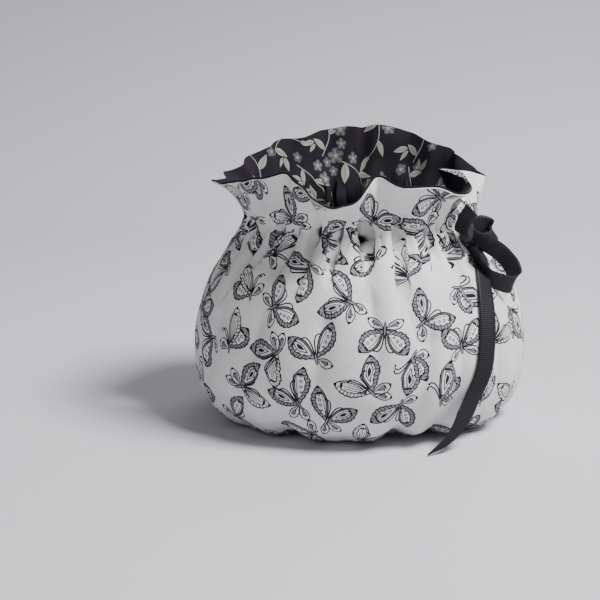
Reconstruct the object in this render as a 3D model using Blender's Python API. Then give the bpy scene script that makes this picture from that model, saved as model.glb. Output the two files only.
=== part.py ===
"""Gathered tea cosy: two printed cover panels, two dark lining panels and a ribbon tie.

Sizes are in millimetres and angles in degrees until a point is placed.
Azimuth 0 is the front at -Y, 90 the side with the bow at +X, 180 the back and 270 the plain side.
The cosy is hollow, stands on its gathered hem and is open at the mouth and at both sides.
"""

import math

import bmesh
import bpy
import numpy as np

MM = 0.001
COVER_THICKNESS = 1.5
LINING_THICKNESS = 1.0
LAYER_GAP = 0.35
COLUMNS_FRONT = 48
COLUMNS_BACK = 40
FRILL_STEPS = 4
RIBBON_WIDTH = 10.0
RIBBON_THICKNESS = 1.0
RIBBON_CLEARANCE = 1.0
FLOOR_TRIM = 0.6
# Angle from a side seam to the edge of the panel beside it.
SEAM_HALF_GAP = 0.16
# How much wider a pleat is where it has died away in the belly.
PLEAT_WIDENING = 1.2
# Bulge of the frill between channel and rim: share outwards, share upwards and upwards for
# each millimetre that the rim leans out.
FRILL_REACH = 0.25
FRILL_CLIMB = 0.5
FRILL_ARCH = 0.3
# Fullness of the ends of a side opening, and how square the knot is.
OPENING_FULLNESS = 0.75
KNOT_SQUARENESS = 0.8
# Steps for the slope of the surface: degrees round and levels up.
SLOPE_TURN = 0.4
SLOPE_CLIMB = 0.08

# Profile from the hem edge up to the ribbon channel: height, radius at the sides, radius at
# front and back, share of the neck pleats and share of the hem gathers.
PROFILE = (
    (5.0, 55.0, 44.0, 0.00, 1.00),
    (0.0, 62.0, 50.0, 0.00, 1.00),
    (0.0, 72.0, 59.0, 0.00, 1.00),
    (3.5, 82.0, 69.0, 0.00, 0.85),
    (12.0, 90.5, 80.0, 0.00, 0.60),
    (26.0, 95.5, 88.0, 0.05, 0.30),
    (42.0, 97.0, 91.0, 0.12, 0.10),
    (58.0, 96.0, 91.0, 0.22, 0.02),
    (74.0, 92.5, 88.5, 0.38, 0.00),
    (89.0, 86.0, 83.5, 0.60, 0.00),
    (102.0, 78.0, 77.0, 0.85, 0.00),
    (112.0, 71.0, 71.0, 1.00, 0.00),
    (119.5, 68.0, 68.0, 1.00, 0.00),
)
NECK_LEVEL = len(PROFILE) - 1
TOP_LEVEL = NECK_LEVEL + FRILL_STEPS

# Rim of the open frill, one row for each crest or trough: azimuth at the neck, swing round
# from there, radius and height.
RIM = (
    (4.0, -3.0, 81.0, 148.0),
    (9.0, -4.5, 76.0, 153.0),
    (15.0, -5.0, 79.0, 150.0),
    (22.0, -4.0, 81.0, 146.5),
    (30.0, 1.0, 78.5, 146.0),
    (36.0, 3.0, 81.0, 141.5),
    (41.0, 3.5, 84.0, 141.5),
    (47.0, 4.0, 74.0, 146.5),
    (54.0, 0.0, 54.0, 151.0),
    (62.0, 9.0, 58.0, 148.5),
    (72.0, 15.0, 68.0, 144.5),
    (80.0, 12.0, 73.0, 141.0),
    (90.0, 9.0, 75.0, 140.0),
    (100.0, 6.0, 74.0, 141.0),
    (110.0, 6.0, 78.0, 140.5),
    (120.0, 6.0, 74.5, 147.5),
    (130.0, 3.0, 79.0, 149.5),
    (142.0, 1.0, 75.0, 153.0),
    (154.0, 1.0, 79.5, 157.5),
    (165.0, 3.0, 75.5, 162.0),
    (176.0, 2.0, 77.0, 160.0),
    (186.0, -2.0, 75.0, 161.0),
    (197.0, -1.0, 79.0, 158.0),
    (208.0, -1.0, 74.5, 155.0),
    (219.0, -1.0, 79.0, 154.0),
    (229.0, -1.0, 75.0, 150.5),
    (238.0, 0.0, 80.0, 146.0),
    (247.0, 0.0, 76.5, 142.5),
    (256.0, 0.0, 83.0, 140.0),
    (264.0, 0.0, 79.0, 138.5),
    (271.0, -1.0, 86.0, 138.5),
    (284.0, 1.0, 80.0, 141.0),
    (298.0, 0.0, 77.0, 144.5),
    (313.0, 1.0, 76.0, 149.0),
    (326.0, 1.0, 77.0, 152.5),
    (335.0, -0.5, 81.0, 147.0),
    (343.0, -1.0, 87.0, 140.5),
    (351.0, -1.0, 90.0, 137.5),
    (358.0, -2.0, 87.5, 140.5),
)

# Pleats drawn in by the ribbon channel across the front: azimuth, spread and depth.
FRONT_PLEATS = (
    (287.0, 3.2, 2.0),
    (303.0, 3.2, 2.2),
    (318.5, 3.4, 2.3),
    (336.5, 3.2, 2.8),
    (348.5, 2.8, 2.4),
    (0.5, 2.9, 4.6),
    (18.5, 3.0, 4.0),
    (32.0, 3.0, 2.8),
    (43.0, 2.8, 2.6),
    (54.0, 2.8, 2.2),
    (68.0, 3.2, 2.0),
    (81.0, 3.2, 2.0),
)
BACK_PLEATS = tuple((96.0 + 15.0 * i, 3.2, 2.0 + 0.3 * (i * 3 % 4)) for i in range(13))

# Gathers drawn up by the hem across the front: azimuth, spread, inward pull and lift.
FRONT_GATHERS = (
    (281.0, 4.5, 3.0, 3.0),
    (303.0, 4.0, 2.0, 1.8),
    (326.5, 4.5, 4.5, 4.5),
    (352.0, 4.0, 1.5, 1.2),
    (15.5, 4.8, 6.5, 7.0),
    (34.0, 4.5, 6.0, 7.0),
    (52.0, 4.5, 3.0, 3.0),
    (72.0, 4.8, 4.0, 4.5),
)
BACK_GATHERS = tuple((97.0 + 22.5 * i, 4.2, 4.0 + (i % 3), 4.0 + 1.2 * (i % 3)) for i in range(8))

# Unsewn lengths of the side seams: azimuth, lowest height, highest height and half width.
SIDE_OPENINGS = (
    (90.0, 43.0, 112.0, 8.0),
    (270.0, 46.0, 110.0, 13.0),
)

# Bow. A row is the middle of the ribbon, then the direction of its width.
KNOT_PLACE = (64.6, -37.5, 117.3)
KNOT_SIZE = (6.0, 4.2, 5.2)
LARGE_LOOP = (
    (64.2, -38.4, 117.0, 0.45, -0.30, 0.84),
    (68.5, -36.0, 111.5, 0.50, -0.25, 0.83),
    (76.5, -32.5, 106.5, 0.50, -0.20, 0.84),
    (85.0, -29.0, 99.5, 0.62, -0.15, 0.77),
    (90.5, -29.5, 92.0, 0.78, -0.10, 0.60),
    (92.0, -34.5, 87.0, 0.62, -0.10, 0.78),
    (88.0, -41.5, 85.0, 0.20, -0.10, 0.97),
    (80.0, -46.5, 87.5, 0.10, -0.20, 0.97),
    (74.0, -48.7, 93.5, 0.30, -0.30, 0.90),
    (68.2, -45.8, 103.5, 0.60, -0.35, 0.72),
    (64.8, -40.8, 114.0, 0.60, -0.35, 0.72),
)
SMALL_LOOP = (
    (63.0, -36.5, 117.5, -0.20, 0.30, 0.93),
    (65.5, -28.5, 121.5, -0.30, 0.30, 0.90),
    (70.0, -21.5, 124.5, -0.45, 0.40, 0.80),
    (76.0, -17.5, 122.0, 0.60, 0.40, 0.69),
    (79.0, -19.0, 115.5, 0.90, 0.30, 0.30),
    (75.0, -25.5, 112.5, 0.45, 0.20, 0.87),
    (69.0, -31.5, 114.5, 0.10, 0.20, 0.97),
    (63.5, -36.5, 117.0, 0.10, 0.20, 0.97),
)
SHORT_END = (
    (64.2, -38.6, 116.5, 0.90, 0.10, -0.40),
    (59.5, -44.6, 119.5, 0.90, 0.20, -0.40),
    (59.0, -46.5, 125.5, 0.88, 0.15, -0.45),
    (63.0, -47.0, 132.5, 0.85, 0.10, -0.52),
)
# Tail: height and azimuth where it lies on the cover, then the points where it hangs clear.
TAIL_ON_COVER = (
    (110.0, 58.5),
    (101.0, 54.6),
    (88.0, 51.5),
    (73.0, 50.0),
    (58.0, 48.4),
    (43.0, 46.6),
)
TAIL_HANGING = (
    (62.8, -70.0, 29.5, 0.80, 0.45, -0.40),
    (55.0, -76.0, 18.5, 0.66, 0.25, -0.70),
    (45.5, -82.3, 10.0, 0.50, 0.14, -0.85),
    (33.5, -88.2, 5.4, 0.40, 0.08, -0.91),
)
END_SLANT = 3.0
# The long tail is cut to a point: steps over which one edge runs across, and the width left.
POINT_STEPS = 5
POINT_WIDTH = 0.9
LOOP_STEPS = 18
TAIL_STEPS = 22
SHORT_STEPS = 6


def clear_scene():
    for old in list(bpy.data.objects):
        bpy.data.objects.remove(old, do_unlink=True)


def hermite(x, knots, values, slopes):
    """Smooth curve through knots, whose values may have several columns."""
    i = np.clip(np.searchsorted(knots, x, side="right") - 1, 0, len(knots) - 2)
    span = knots[i + 1] - knots[i]
    s = ((x - knots[i]) / span)[..., None]
    span = span[..., None]
    start, end = values[i], values[i + 1]
    rise, fall = slopes[i] * span, slopes[i + 1] * span
    return (
        (2 * s**3 - 3 * s**2 + 1) * start
        + (s**3 - 2 * s**2 + s) * rise
        + (3 * s**2 - 2 * s**3) * end
        + (s**3 - s**2) * fall
    )


def slopes_of(knots, values):
    """Slope at each knot from its neighbours on both sides."""
    return np.gradient(values, knots, axis=0, edge_order=1)


PROFILE_KNOTS = np.arange(len(PROFILE), dtype=float)
PROFILE_VALUES = np.array(PROFILE)
PROFILE_SLOPES = slopes_of(PROFILE_KNOTS, PROFILE_VALUES)

RIM_ROWS = np.array(RIM)
RIM_KNOTS = np.concatenate([RIM_ROWS[-3:, 0] - 360, RIM_ROWS[:, 0], RIM_ROWS[:3, 0] + 360])
RIM_VALUES = np.concatenate([RIM_ROWS[-3:, 1:], RIM_ROWS[:, 1:], RIM_ROWS[:3, 1:]])
RIM_SLOPES = slopes_of(RIM_KNOTS, RIM_VALUES)


def turn_between(azimuth, other):
    """Signed angle from other to azimuth, from -180 to 180."""
    return (azimuth - other + 180) % 360 - 180


def drawn_in(azimuth, folds, column, widening):
    """Sum of soft troughs round the cosy, wider where widening is more than 1."""
    total = np.zeros_like(azimuth)
    for fold in folds:
        away = turn_between(azimuth, fold[0]) / (fold[1] * widening)
        total += fold[column] * np.exp(-0.5 * away**2)
    return total


def body_point(azimuth, level):
    """Point of the outer surface between the hem edge and the ribbon channel."""
    row = hermite(level, PROFILE_KNOTS, PROFILE_VALUES, PROFILE_SLOPES)
    height, side, front, pleated, gathered = np.moveaxis(row, -1, 0)
    pleated = np.clip(pleated, 0, 1)
    gathered = np.clip(gathered, 0, 1)
    across = np.sin(np.radians(azimuth)) ** 2
    pleats = drawn_in(azimuth, FRONT_PLEATS + BACK_PLEATS, 2, 1 + PLEAT_WIDENING * (1 - pleated))
    pulls = drawn_in(azimuth, FRONT_GATHERS + BACK_GATHERS, 2, 1)
    lifts = drawn_in(azimuth, FRONT_GATHERS + BACK_GATHERS, 3, 1)
    radius = front + (side - front) * across - pleated * pleats - gathered * pulls
    height = np.maximum(height, 0) + gathered * np.maximum(lifts - FLOOR_TRIM, 0)
    return polar(azimuth, radius, height)


def polar(azimuth, radius, height):
    turn = np.radians(azimuth)
    return np.stack([radius * np.sin(turn), -radius * np.cos(turn), height], axis=-1)


def frill_point(azimuth, rise):
    """Point of the frill, where rise goes from 0 at the channel to 1 at the rim."""
    neck = body_point(azimuth, np.full_like(azimuth, NECK_LEVEL))
    rim_row = hermite(azimuth % 360, RIM_KNOTS, RIM_VALUES, RIM_SLOPES)
    swing, radius, height = np.moveaxis(rim_row, -1, 0)
    rim = polar(azimuth + swing, radius, height)
    across = np.linalg.norm(rim[..., :2], axis=-1) - np.linalg.norm(neck[..., :2], axis=-1)
    arch = FRILL_ARCH * np.maximum(across, 0)
    bend = neck + FRILL_REACH * (rim - neck)
    bend[..., 2] = neck[..., 2] + FRILL_CLIMB * (rim[..., 2] - neck[..., 2]) + arch
    s = rise[..., None]
    return (1 - s) ** 2 * neck + 2 * s * (1 - s) * bend + s**2 * rim


def outer_point(azimuth, level):
    """Point of the cover's outer surface, level 0 at the hem edge and TOP_LEVEL at the rim."""
    body = body_point(azimuth, np.minimum(level, NECK_LEVEL))
    frill = frill_point(azimuth, np.clip((level - NECK_LEVEL) / FRILL_STEPS, 0, 1))
    return np.where((level > NECK_LEVEL)[..., None], frill, body)


def outward(azimuth, level):
    """Unit vector straight out of the cover."""
    low = np.maximum(level - SLOPE_CLIMB, 0)
    high = np.minimum(level + SLOPE_CLIMB, TOP_LEVEL)
    round_it = outer_point(azimuth + SLOPE_TURN, level) - outer_point(azimuth - SLOPE_TURN, level)
    up_it = outer_point(azimuth, high) - outer_point(azimuth, low)
    normal = np.cross(round_it, up_it)
    return normal / np.linalg.norm(normal, axis=-1, keepdims=True)


def under_cover(azimuth, level, depth):
    """Point that lies depth inside the outer surface."""
    return outer_point(azimuth, level) - depth * outward(azimuth, level)


def seam_inset(level, opening):
    """Angle from a side seam's line to the panel's edge at a level of the grid."""
    if level > NECK_LEVEL:
        return SEAM_HALF_GAP
    height, radius = PROFILE[int(level)][:2]
    lowest, highest, half_width = opening[1:]
    along = (height - lowest) / (highest - lowest)
    if not 0 < along < 1:
        return SEAM_HALF_GAP
    gape = half_width * math.sin(math.pi * along) ** OPENING_FULLNESS
    return max(SEAM_HALF_GAP, math.degrees(gape / radius))


def thin_grid(columns, rows):
    """Closed flat sheet whose points hold their column, row and side (0 outer, 1 inner)."""
    mesh = bmesh.new()
    bmesh.ops.create_grid(mesh, x_segments=columns, y_segments=rows, size=0.5)
    bmesh.ops.triangulate(mesh, faces=mesh.faces[:], quad_method="FIXED")
    for vert in mesh.verts:
        vert.co.x = (vert.co.x + 0.5) * columns
        vert.co.y = (vert.co.y + 0.5) * rows
    made = bmesh.ops.extrude_face_region(mesh, geom=mesh.faces[:], use_keep_orig=True)
    for vert in made["geom"]:
        if isinstance(vert, bmesh.types.BMVert):
            vert.co.z = 1.0
    bmesh.ops.recalc_face_normals(mesh, faces=mesh.faces[:])
    return mesh


def grid_object(name, grid, points, material, collection):
    """Object from a thin grid whose points go to the given places, with its faces outward."""
    for vert, point in zip(grid.verts, points):
        vert.co = [float(value) * MM for value in point]
    if grid.calc_volume(signed=True) < 0:
        bmesh.ops.reverse_faces(grid, faces=grid.faces[:])
    data = bpy.data.meshes.new(name)
    grid.to_mesh(data)
    grid.free()
    data.materials.append(material)
    data.shade_smooth()
    made = bpy.data.objects.new(name, data)
    collection.objects.link(made)
    return made


def cloth_panel(name, columns, seams, depths, material, collection):
    """One panel between two side seams, from depths[0] to depths[1] under the outer surface."""
    grid = thin_grid(columns, TOP_LEVEL)
    places = np.array([vert.co for vert in grid.verts])
    levels = np.round(places[:, 1])
    first, last = seams
    starts = np.array([first[0] + seam_inset(level, first) for level in levels])
    ends = np.array([last[0] - seam_inset(level, last) for level in levels])
    ends += 360 * (last[0] < first[0])
    azimuths = starts + (ends - starts) * places[:, 0] / columns
    depth = np.where(places[:, 2] > 0.5, depths[1], depths[0])
    points = under_cover(azimuths, levels, depth[:, None])
    return grid_object(name, grid, points, material, collection)


def route(stations, steps):
    """Evenly spaced middles and width directions along a smooth run through the stations."""
    rows = np.array(stations)
    gaps = np.linalg.norm(np.diff(rows[:, :3], axis=0), axis=1)
    knots = np.concatenate([[0], np.cumsum(gaps)])
    at = np.linspace(0, knots[-1], steps + 1)
    smooth = hermite(at, knots, rows, slopes_of(knots, rows))
    middles = smooth[:, :3]
    along = np.gradient(middles, at, axis=0)
    along /= np.linalg.norm(along, axis=1, keepdims=True)
    across = smooth[:, 3:] - along * (smooth[:, 3:] * along).sum(axis=1, keepdims=True)
    across /= np.linalg.norm(across, axis=1, keepdims=True)
    return middles, along, across


def ribbon_strip(name, stations, steps, slant, point_steps, material, collection):
    """Flat ribbon along its stations, its far end cut on a slant or to a point."""
    middles, along, across = route(stations, steps)
    facing = np.cross(along, across)
    grid = thin_grid(steps, 1)
    points = []
    for vert in grid.verts:
        i = int(round(vert.co.x))
        side = vert.co.y - 0.5
        if side < 0 and point_steps:
            cut = max(0.0, (i - steps + point_steps) / point_steps)
            side += cut * (1 - POINT_WIDTH / RIBBON_WIDTH)
        point = middles[i] + across[i] * RIBBON_WIDTH * side
        point = point + facing[i] * RIBBON_THICKNESS * (vert.co.z - 0.5)
        if i == steps:
            point = point + along[i] * slant * 2 * side
        points.append(point)
    return grid_object(name, grid, points, material, collection)


def tail_stations():
    """Stations of the long tail: down the cover, then hanging clear with its tip on the floor."""
    heights = PROFILE_VALUES[:, 0]
    rising = np.arange(2, len(heights))
    lift = RIBBON_CLEARANCE + RIBBON_THICKNESS / 2
    places = []
    outs = []
    for height, azimuth in TAIL_ON_COVER:
        level = np.array([np.interp(height, heights[rising], PROFILE_KNOTS[rising])])
        places.append(under_cover(np.array([azimuth]), level, -lift)[0])
        outs.append(outward(np.array([azimuth]), level)[0])
    rows = [KNOT_PLACE + (0.85, 0.50, 0.10)]
    downs = np.gradient(np.array(places), axis=0)
    for place, out, down in zip(places, outs, downs):
        across = np.cross(out, down)
        across /= np.linalg.norm(across)
        if across[0] < 0:
            across = -across
        rows.append(tuple(place) + tuple(across))
    return rows + list(TAIL_HANGING)


def knot(name, material, collection):
    """Small firm knot whose turned-in sides face along the neck."""
    ball = bmesh.new()
    bmesh.ops.create_uvsphere(ball, u_segments=12, v_segments=8, radius=1.0)
    turn = math.atan2(KNOT_PLACE[0], -KNOT_PLACE[1])
    round_it = np.array([math.cos(turn), math.sin(turn), 0.0])
    out = np.array([math.sin(turn), -math.cos(turn), 0.0])
    for vert in ball.verts:
        co = np.sign(vert.co) * np.abs(np.array(vert.co)) ** KNOT_SQUARENESS
        point = np.array(KNOT_PLACE) + round_it * co[0] * KNOT_SIZE[0] + out * co[1] * KNOT_SIZE[1]
        point[2] += co[2] * KNOT_SIZE[2]
        vert.co = [float(value) * MM for value in point]
    if ball.calc_volume(signed=True) < 0:
        bmesh.ops.reverse_faces(ball, faces=ball.faces[:])
    data = bpy.data.meshes.new(name)
    ball.to_mesh(data)
    ball.free()
    data.materials.append(material)
    data.shade_smooth()
    made = bpy.data.objects.new(name, data)
    collection.objects.link(made)
    return made


def join_to(target, joined):
    """Boolean union of another shape into the target."""
    joined.hide_render = True
    joined.display_type = "WIRE"
    union = target.modifiers.new(joined.name, "BOOLEAN")
    union.operation = "UNION"
    union.solver = "EXACT"
    union.object = joined


def ribbon_tie(material, parts, cutters):
    tied = knot("ribbon_tie", material, parts)
    strips = (
        ("large_loop", LARGE_LOOP, LOOP_STEPS, 0.0, 0),
        ("small_loop", SMALL_LOOP, LOOP_STEPS, 0.0, 0),
        ("short_end", SHORT_END, SHORT_STEPS, -END_SLANT, 0),
        ("long_tail", tail_stations(), TAIL_STEPS, 0.0, POINT_STEPS),
    )
    for name, stations, steps, slant, point_steps in strips:
        strip = ribbon_strip(name, stations, steps, slant, point_steps, material, cutters)
        join_to(tied, strip)
    return tied


def plain_material(name, colour, roughness):
    made = bpy.data.materials.new(name)
    made.use_nodes = True
    shader = made.node_tree.nodes["Principled BSDF"]
    shader.inputs["Base Color"].default_value = (*colour, 1.0)
    shader.inputs["Roughness"].default_value = roughness
    shader.inputs["Metallic"].default_value = 0.0
    made.diffuse_color = (*colour, 1.0)
    return made


def new_collection(name):
    made = bpy.data.collections.new(name)
    bpy.context.scene.collection.children.link(made)
    return made


def centre_on_floor(parts):
    """Hang every part on an empty that puts the middle of the whole on the origin."""
    bpy.context.view_layer.update()
    depsgraph = bpy.context.evaluated_depsgraph_get()
    corners = np.array([corner for part in parts for corner in part.evaluated_get(depsgraph).bound_box])
    middle = (corners.min(axis=0) + corners.max(axis=0)) / 2
    axis = bpy.data.objects.new("cosy_axis", None)
    bpy.context.scene.collection.objects.link(axis)
    axis.location = (-middle[0], -middle[1], 0.0)
    for made in bpy.data.objects:
        if made.type == "MESH":
            made.parent = axis


def build():
    clear_scene()
    parts = new_collection("tea_cosy")
    cutters = new_collection("cutters")
    right, left = SIDE_OPENINGS
    cover_depths = (0.0, COVER_THICKNESS)
    lining_start = COVER_THICKNESS + LAYER_GAP
    lining_depths = (lining_start, lining_start + LINING_THICKNESS)
    layers = (
        ("cover", cover_depths, (0.62, 0.61, 0.60), 0.85),
        ("lining", lining_depths, (0.02, 0.015, 0.025), 0.80),
    )
    panels = (
        ("front", COLUMNS_FRONT, (left, right)),
        ("back", COLUMNS_BACK, (right, left)),
    )
    made = []
    for layer, depths, colour, roughness in layers:
        for panel, columns, seams in panels:
            name = f"{layer}_{panel}"
            material = plain_material(f"{name}_cloth", colour, roughness)
            made.append(cloth_panel(name, columns, seams, depths, material, parts))
    ribbon = plain_material("ribbon_cloth", (0.012, 0.011, 0.014), 0.6)
    made.append(ribbon_tie(ribbon, parts, cutters))
    centre_on_floor(made)


build()
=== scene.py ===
"""Looks of the gathered tea cosy: printed cotton cover, dark floral lining and ribbed ribbon bow.

Shapes are worked out in millimetres and degrees and placed in metres. Azimuth 0 is the front at
-Y, 90 the side with the bow at +X, 180 the back and 270 the plain side.
"""

import math

import bmesh
import bpy
import numpy as np
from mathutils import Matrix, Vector
from mathutils.geometry import delaunay_2d_cdt


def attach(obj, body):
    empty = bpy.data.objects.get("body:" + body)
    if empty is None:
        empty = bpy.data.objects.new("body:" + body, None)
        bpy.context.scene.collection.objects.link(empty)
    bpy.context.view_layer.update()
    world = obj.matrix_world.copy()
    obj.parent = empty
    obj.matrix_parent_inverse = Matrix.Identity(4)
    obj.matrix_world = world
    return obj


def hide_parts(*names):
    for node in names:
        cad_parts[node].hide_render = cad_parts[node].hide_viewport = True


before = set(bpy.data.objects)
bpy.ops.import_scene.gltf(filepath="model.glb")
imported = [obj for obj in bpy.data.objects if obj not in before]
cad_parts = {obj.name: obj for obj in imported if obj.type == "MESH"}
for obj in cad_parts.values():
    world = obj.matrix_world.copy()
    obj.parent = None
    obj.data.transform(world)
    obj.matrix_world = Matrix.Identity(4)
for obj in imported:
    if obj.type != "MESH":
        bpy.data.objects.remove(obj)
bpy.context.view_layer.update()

MM = 0.001
ROOT = "root"
SEED = 11

# Camera: aim, distance, height angle and lens for a 36 mm sensor.
CAMERA_AIM = (-0.035, 0.0, 0.068)
CAMERA_DISTANCE = 1.0
CAMERA_ELEVATION = 13.0
CAMERA_LENS = 101.7

# The same surface as the solids have: levels of the frill, widening of the pleats where they die
# away, bulge of the frill, fullness of the ends of a side opening and lift off the floor.
FRILL_STEPS = 4
PLEAT_WIDENING = 1.2
FRILL_REACH = 0.25
FRILL_CLIMB = 0.5
FRILL_ARCH = 0.3
OPENING_FULLNESS = 0.75
FLOOR_TRIM = 0.6
# Steps for the slope of the surface: degrees round and levels up.
SLOPE_TURN = 0.4
SLOPE_CLIMB = 0.08
# Cloth layers, as depths under the outer surface, and room between a seam's line and its edges.
COVER_DEPTHS = (0.0, 0.7)
LINING_DEPTHS = (0.8, 1.4)
SEAM_ROOM = 0.03
# Least height of the cloth and of its edges over the floor.
FLOOR_ROOM = 0.05
EDGE_ROOM = 0.02

# Profile from the hem edge up to the ribbon channel: height, radius at the sides, radius at
# front and back, share of the neck pleats and share of the hem gathers.
PROFILE = (
    (5.0, 55.0, 44.0, 0.00, 1.00),
    (0.0, 62.0, 50.0, 0.00, 1.00),
    (0.0, 72.0, 59.0, 0.00, 1.00),
    (3.5, 82.0, 69.0, 0.00, 0.85),
    (12.0, 90.5, 80.0, 0.00, 0.60),
    (26.0, 95.5, 88.0, 0.05, 0.30),
    (42.0, 97.0, 91.0, 0.12, 0.10),
    (58.0, 96.0, 91.0, 0.22, 0.02),
    (74.0, 92.5, 88.5, 0.38, 0.00),
    (89.0, 86.0, 83.5, 0.60, 0.00),
    (102.0, 78.0, 77.0, 0.85, 0.00),
    (112.0, 71.0, 71.0, 1.00, 0.00),
    (119.5, 68.0, 68.0, 1.00, 0.00),
)
NECK_LEVEL = len(PROFILE) - 1
TOP_LEVEL = NECK_LEVEL + FRILL_STEPS

# Rim of the open frill: azimuth at the neck, swing round from there, radius and height.
RIM = (
    (4.0, -3.0, 81.0, 148.0),
    (9.0, -4.5, 76.0, 153.0),
    (15.0, -5.0, 79.0, 150.0),
    (22.0, -4.0, 81.0, 146.5),
    (30.0, 1.0, 78.5, 146.0),
    (36.0, 3.0, 81.0, 141.5),
    (41.0, 3.5, 84.0, 141.5),
    (47.0, 4.0, 74.0, 146.5),
    (54.0, 0.0, 54.0, 151.0),
    (62.0, 9.0, 58.0, 148.5),
    (72.0, 15.0, 68.0, 144.5),
    (80.0, 12.0, 73.0, 141.0),
    (90.0, 9.0, 75.0, 140.0),
    (100.0, 6.0, 74.0, 141.0),
    (110.0, 6.0, 78.0, 140.5),
    (120.0, 6.0, 74.5, 147.5),
    (130.0, 3.0, 79.0, 149.5),
    (142.0, 1.0, 75.0, 153.0),
    (154.0, 1.0, 79.5, 157.5),
    (165.0, 3.0, 75.5, 162.0),
    (176.0, 2.0, 77.0, 160.0),
    (186.0, -2.0, 75.0, 161.0),
    (197.0, -1.0, 79.0, 158.0),
    (208.0, -1.0, 74.5, 155.0),
    (219.0, -1.0, 79.0, 154.0),
    (229.0, -1.0, 75.0, 150.5),
    (238.0, 0.0, 80.0, 146.0),
    (247.0, 0.0, 76.5, 142.5),
    (256.0, 0.0, 83.0, 140.0),
    (264.0, 0.0, 79.0, 138.5),
    (271.0, -1.0, 86.0, 138.5),
    (284.0, 1.0, 80.0, 141.0),
    (298.0, 0.0, 77.0, 144.5),
    (313.0, 1.0, 76.0, 149.0),
    (326.0, 1.0, 77.0, 152.5),
    (335.0, -0.5, 81.0, 147.0),
    (343.0, -1.0, 87.0, 140.5),
    (351.0, -1.0, 90.0, 137.5),
    (358.0, -2.0, 87.5, 140.5),
)

# Pleats drawn in by the ribbon channel: azimuth, spread and depth.
FRONT_PLEATS = (
    (287.0, 3.2, 2.0),
    (303.0, 3.2, 2.2),
    (318.5, 3.4, 2.3),
    (336.5, 3.2, 2.8),
    (348.5, 2.8, 2.4),
    (0.5, 2.9, 4.6),
    (18.5, 3.0, 4.0),
    (32.0, 3.0, 2.8),
    (43.0, 2.8, 2.6),
    (54.0, 2.8, 2.2),
    (68.0, 3.2, 2.0),
    (81.0, 3.2, 2.0),
)
BACK_PLEATS = tuple((96.0 + 15.0 * i, 3.2, 2.0 + 0.3 * (i * 3 % 4)) for i in range(13))

# Gathers drawn up by the hem: azimuth, spread, inward pull and lift.
FRONT_GATHERS = (
    (281.0, 4.5, 3.0, 3.0),
    (303.0, 4.0, 2.0, 1.8),
    (326.5, 4.5, 4.5, 4.5),
    (352.0, 4.0, 1.5, 1.2),
    (15.5, 4.8, 6.5, 7.0),
    (34.0, 4.5, 6.0, 7.0),
    (52.0, 4.5, 3.0, 3.0),
    (72.0, 4.8, 4.0, 4.5),
)
BACK_GATHERS = tuple((97.0 + 22.5 * i, 4.2, 4.0 + (i % 3), 4.0 + 1.2 * (i % 3)) for i in range(8))

# Unsewn lengths of the side seams: azimuth, lowest height, highest height and half width.
SIDE_OPENINGS = (
    (90.0, 43.0, 112.0, 8.0),
    (270.0, 46.0, 110.0, 13.0),
)

# Flat cloth of one panel: its width, the steps between its points in general, near the channel
# for cover and lining, on the hidden side and along the edges, the rounds of points that round
# its edges off, and the step that its slopes are taken over.
PANEL_WIDTH = 296.0
COARSE_STEP = 2.3
FINE_STEP = 0.95
LINING_STEP = 1.4
INNER_STEP = 4.2
EDGE_STEP = 1.5
EDGE_ROUNDING = 2
SLOPE_STEP = 0.25


def hermite(x, knots, values, slopes):
    """Smooth curve through knots, whose values may have several columns."""
    i = np.clip(np.searchsorted(knots, x, side="right") - 1, 0, len(knots) - 2)
    span = knots[i + 1] - knots[i]
    s = ((x - knots[i]) / span)[..., None]
    span = span[..., None]
    start, end = values[i], values[i + 1]
    rise, fall = slopes[i] * span, slopes[i + 1] * span
    return (
        (2 * s**3 - 3 * s**2 + 1) * start
        + (s**3 - 2 * s**2 + s) * rise
        + (3 * s**2 - 2 * s**3) * end
        + (s**3 - s**2) * fall
    )


def slopes_of(knots, values):
    """Slope at each knot from its neighbours on both sides."""
    return np.gradient(values, knots, axis=0, edge_order=1)


PROFILE_KNOTS = np.arange(len(PROFILE), dtype=float)
PROFILE_VALUES = np.array(PROFILE)
PROFILE_SLOPES = slopes_of(PROFILE_KNOTS, PROFILE_VALUES)

RIM_ROWS = np.array(RIM)
RIM_KNOTS = np.concatenate([RIM_ROWS[-3:, 0] - 360, RIM_ROWS[:, 0], RIM_ROWS[:3, 0] + 360])
RIM_VALUES = np.concatenate([RIM_ROWS[-3:, 1:], RIM_ROWS[:, 1:], RIM_ROWS[:3, 1:]])
RIM_SLOPES = slopes_of(RIM_KNOTS, RIM_VALUES)


def turn_between(azimuth, other):
    """Signed angle from other to azimuth, from -180 to 180."""
    return (azimuth - other + 180) % 360 - 180


def drawn_in(azimuth, folds, column, widening):
    """Sum of soft troughs round the cosy, wider where widening is more than 1."""
    total = np.zeros_like(azimuth)
    for fold in folds:
        away = turn_between(azimuth, fold[0]) / (fold[1] * widening)
        total += fold[column] * np.exp(-0.5 * away**2)
    return total


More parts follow.
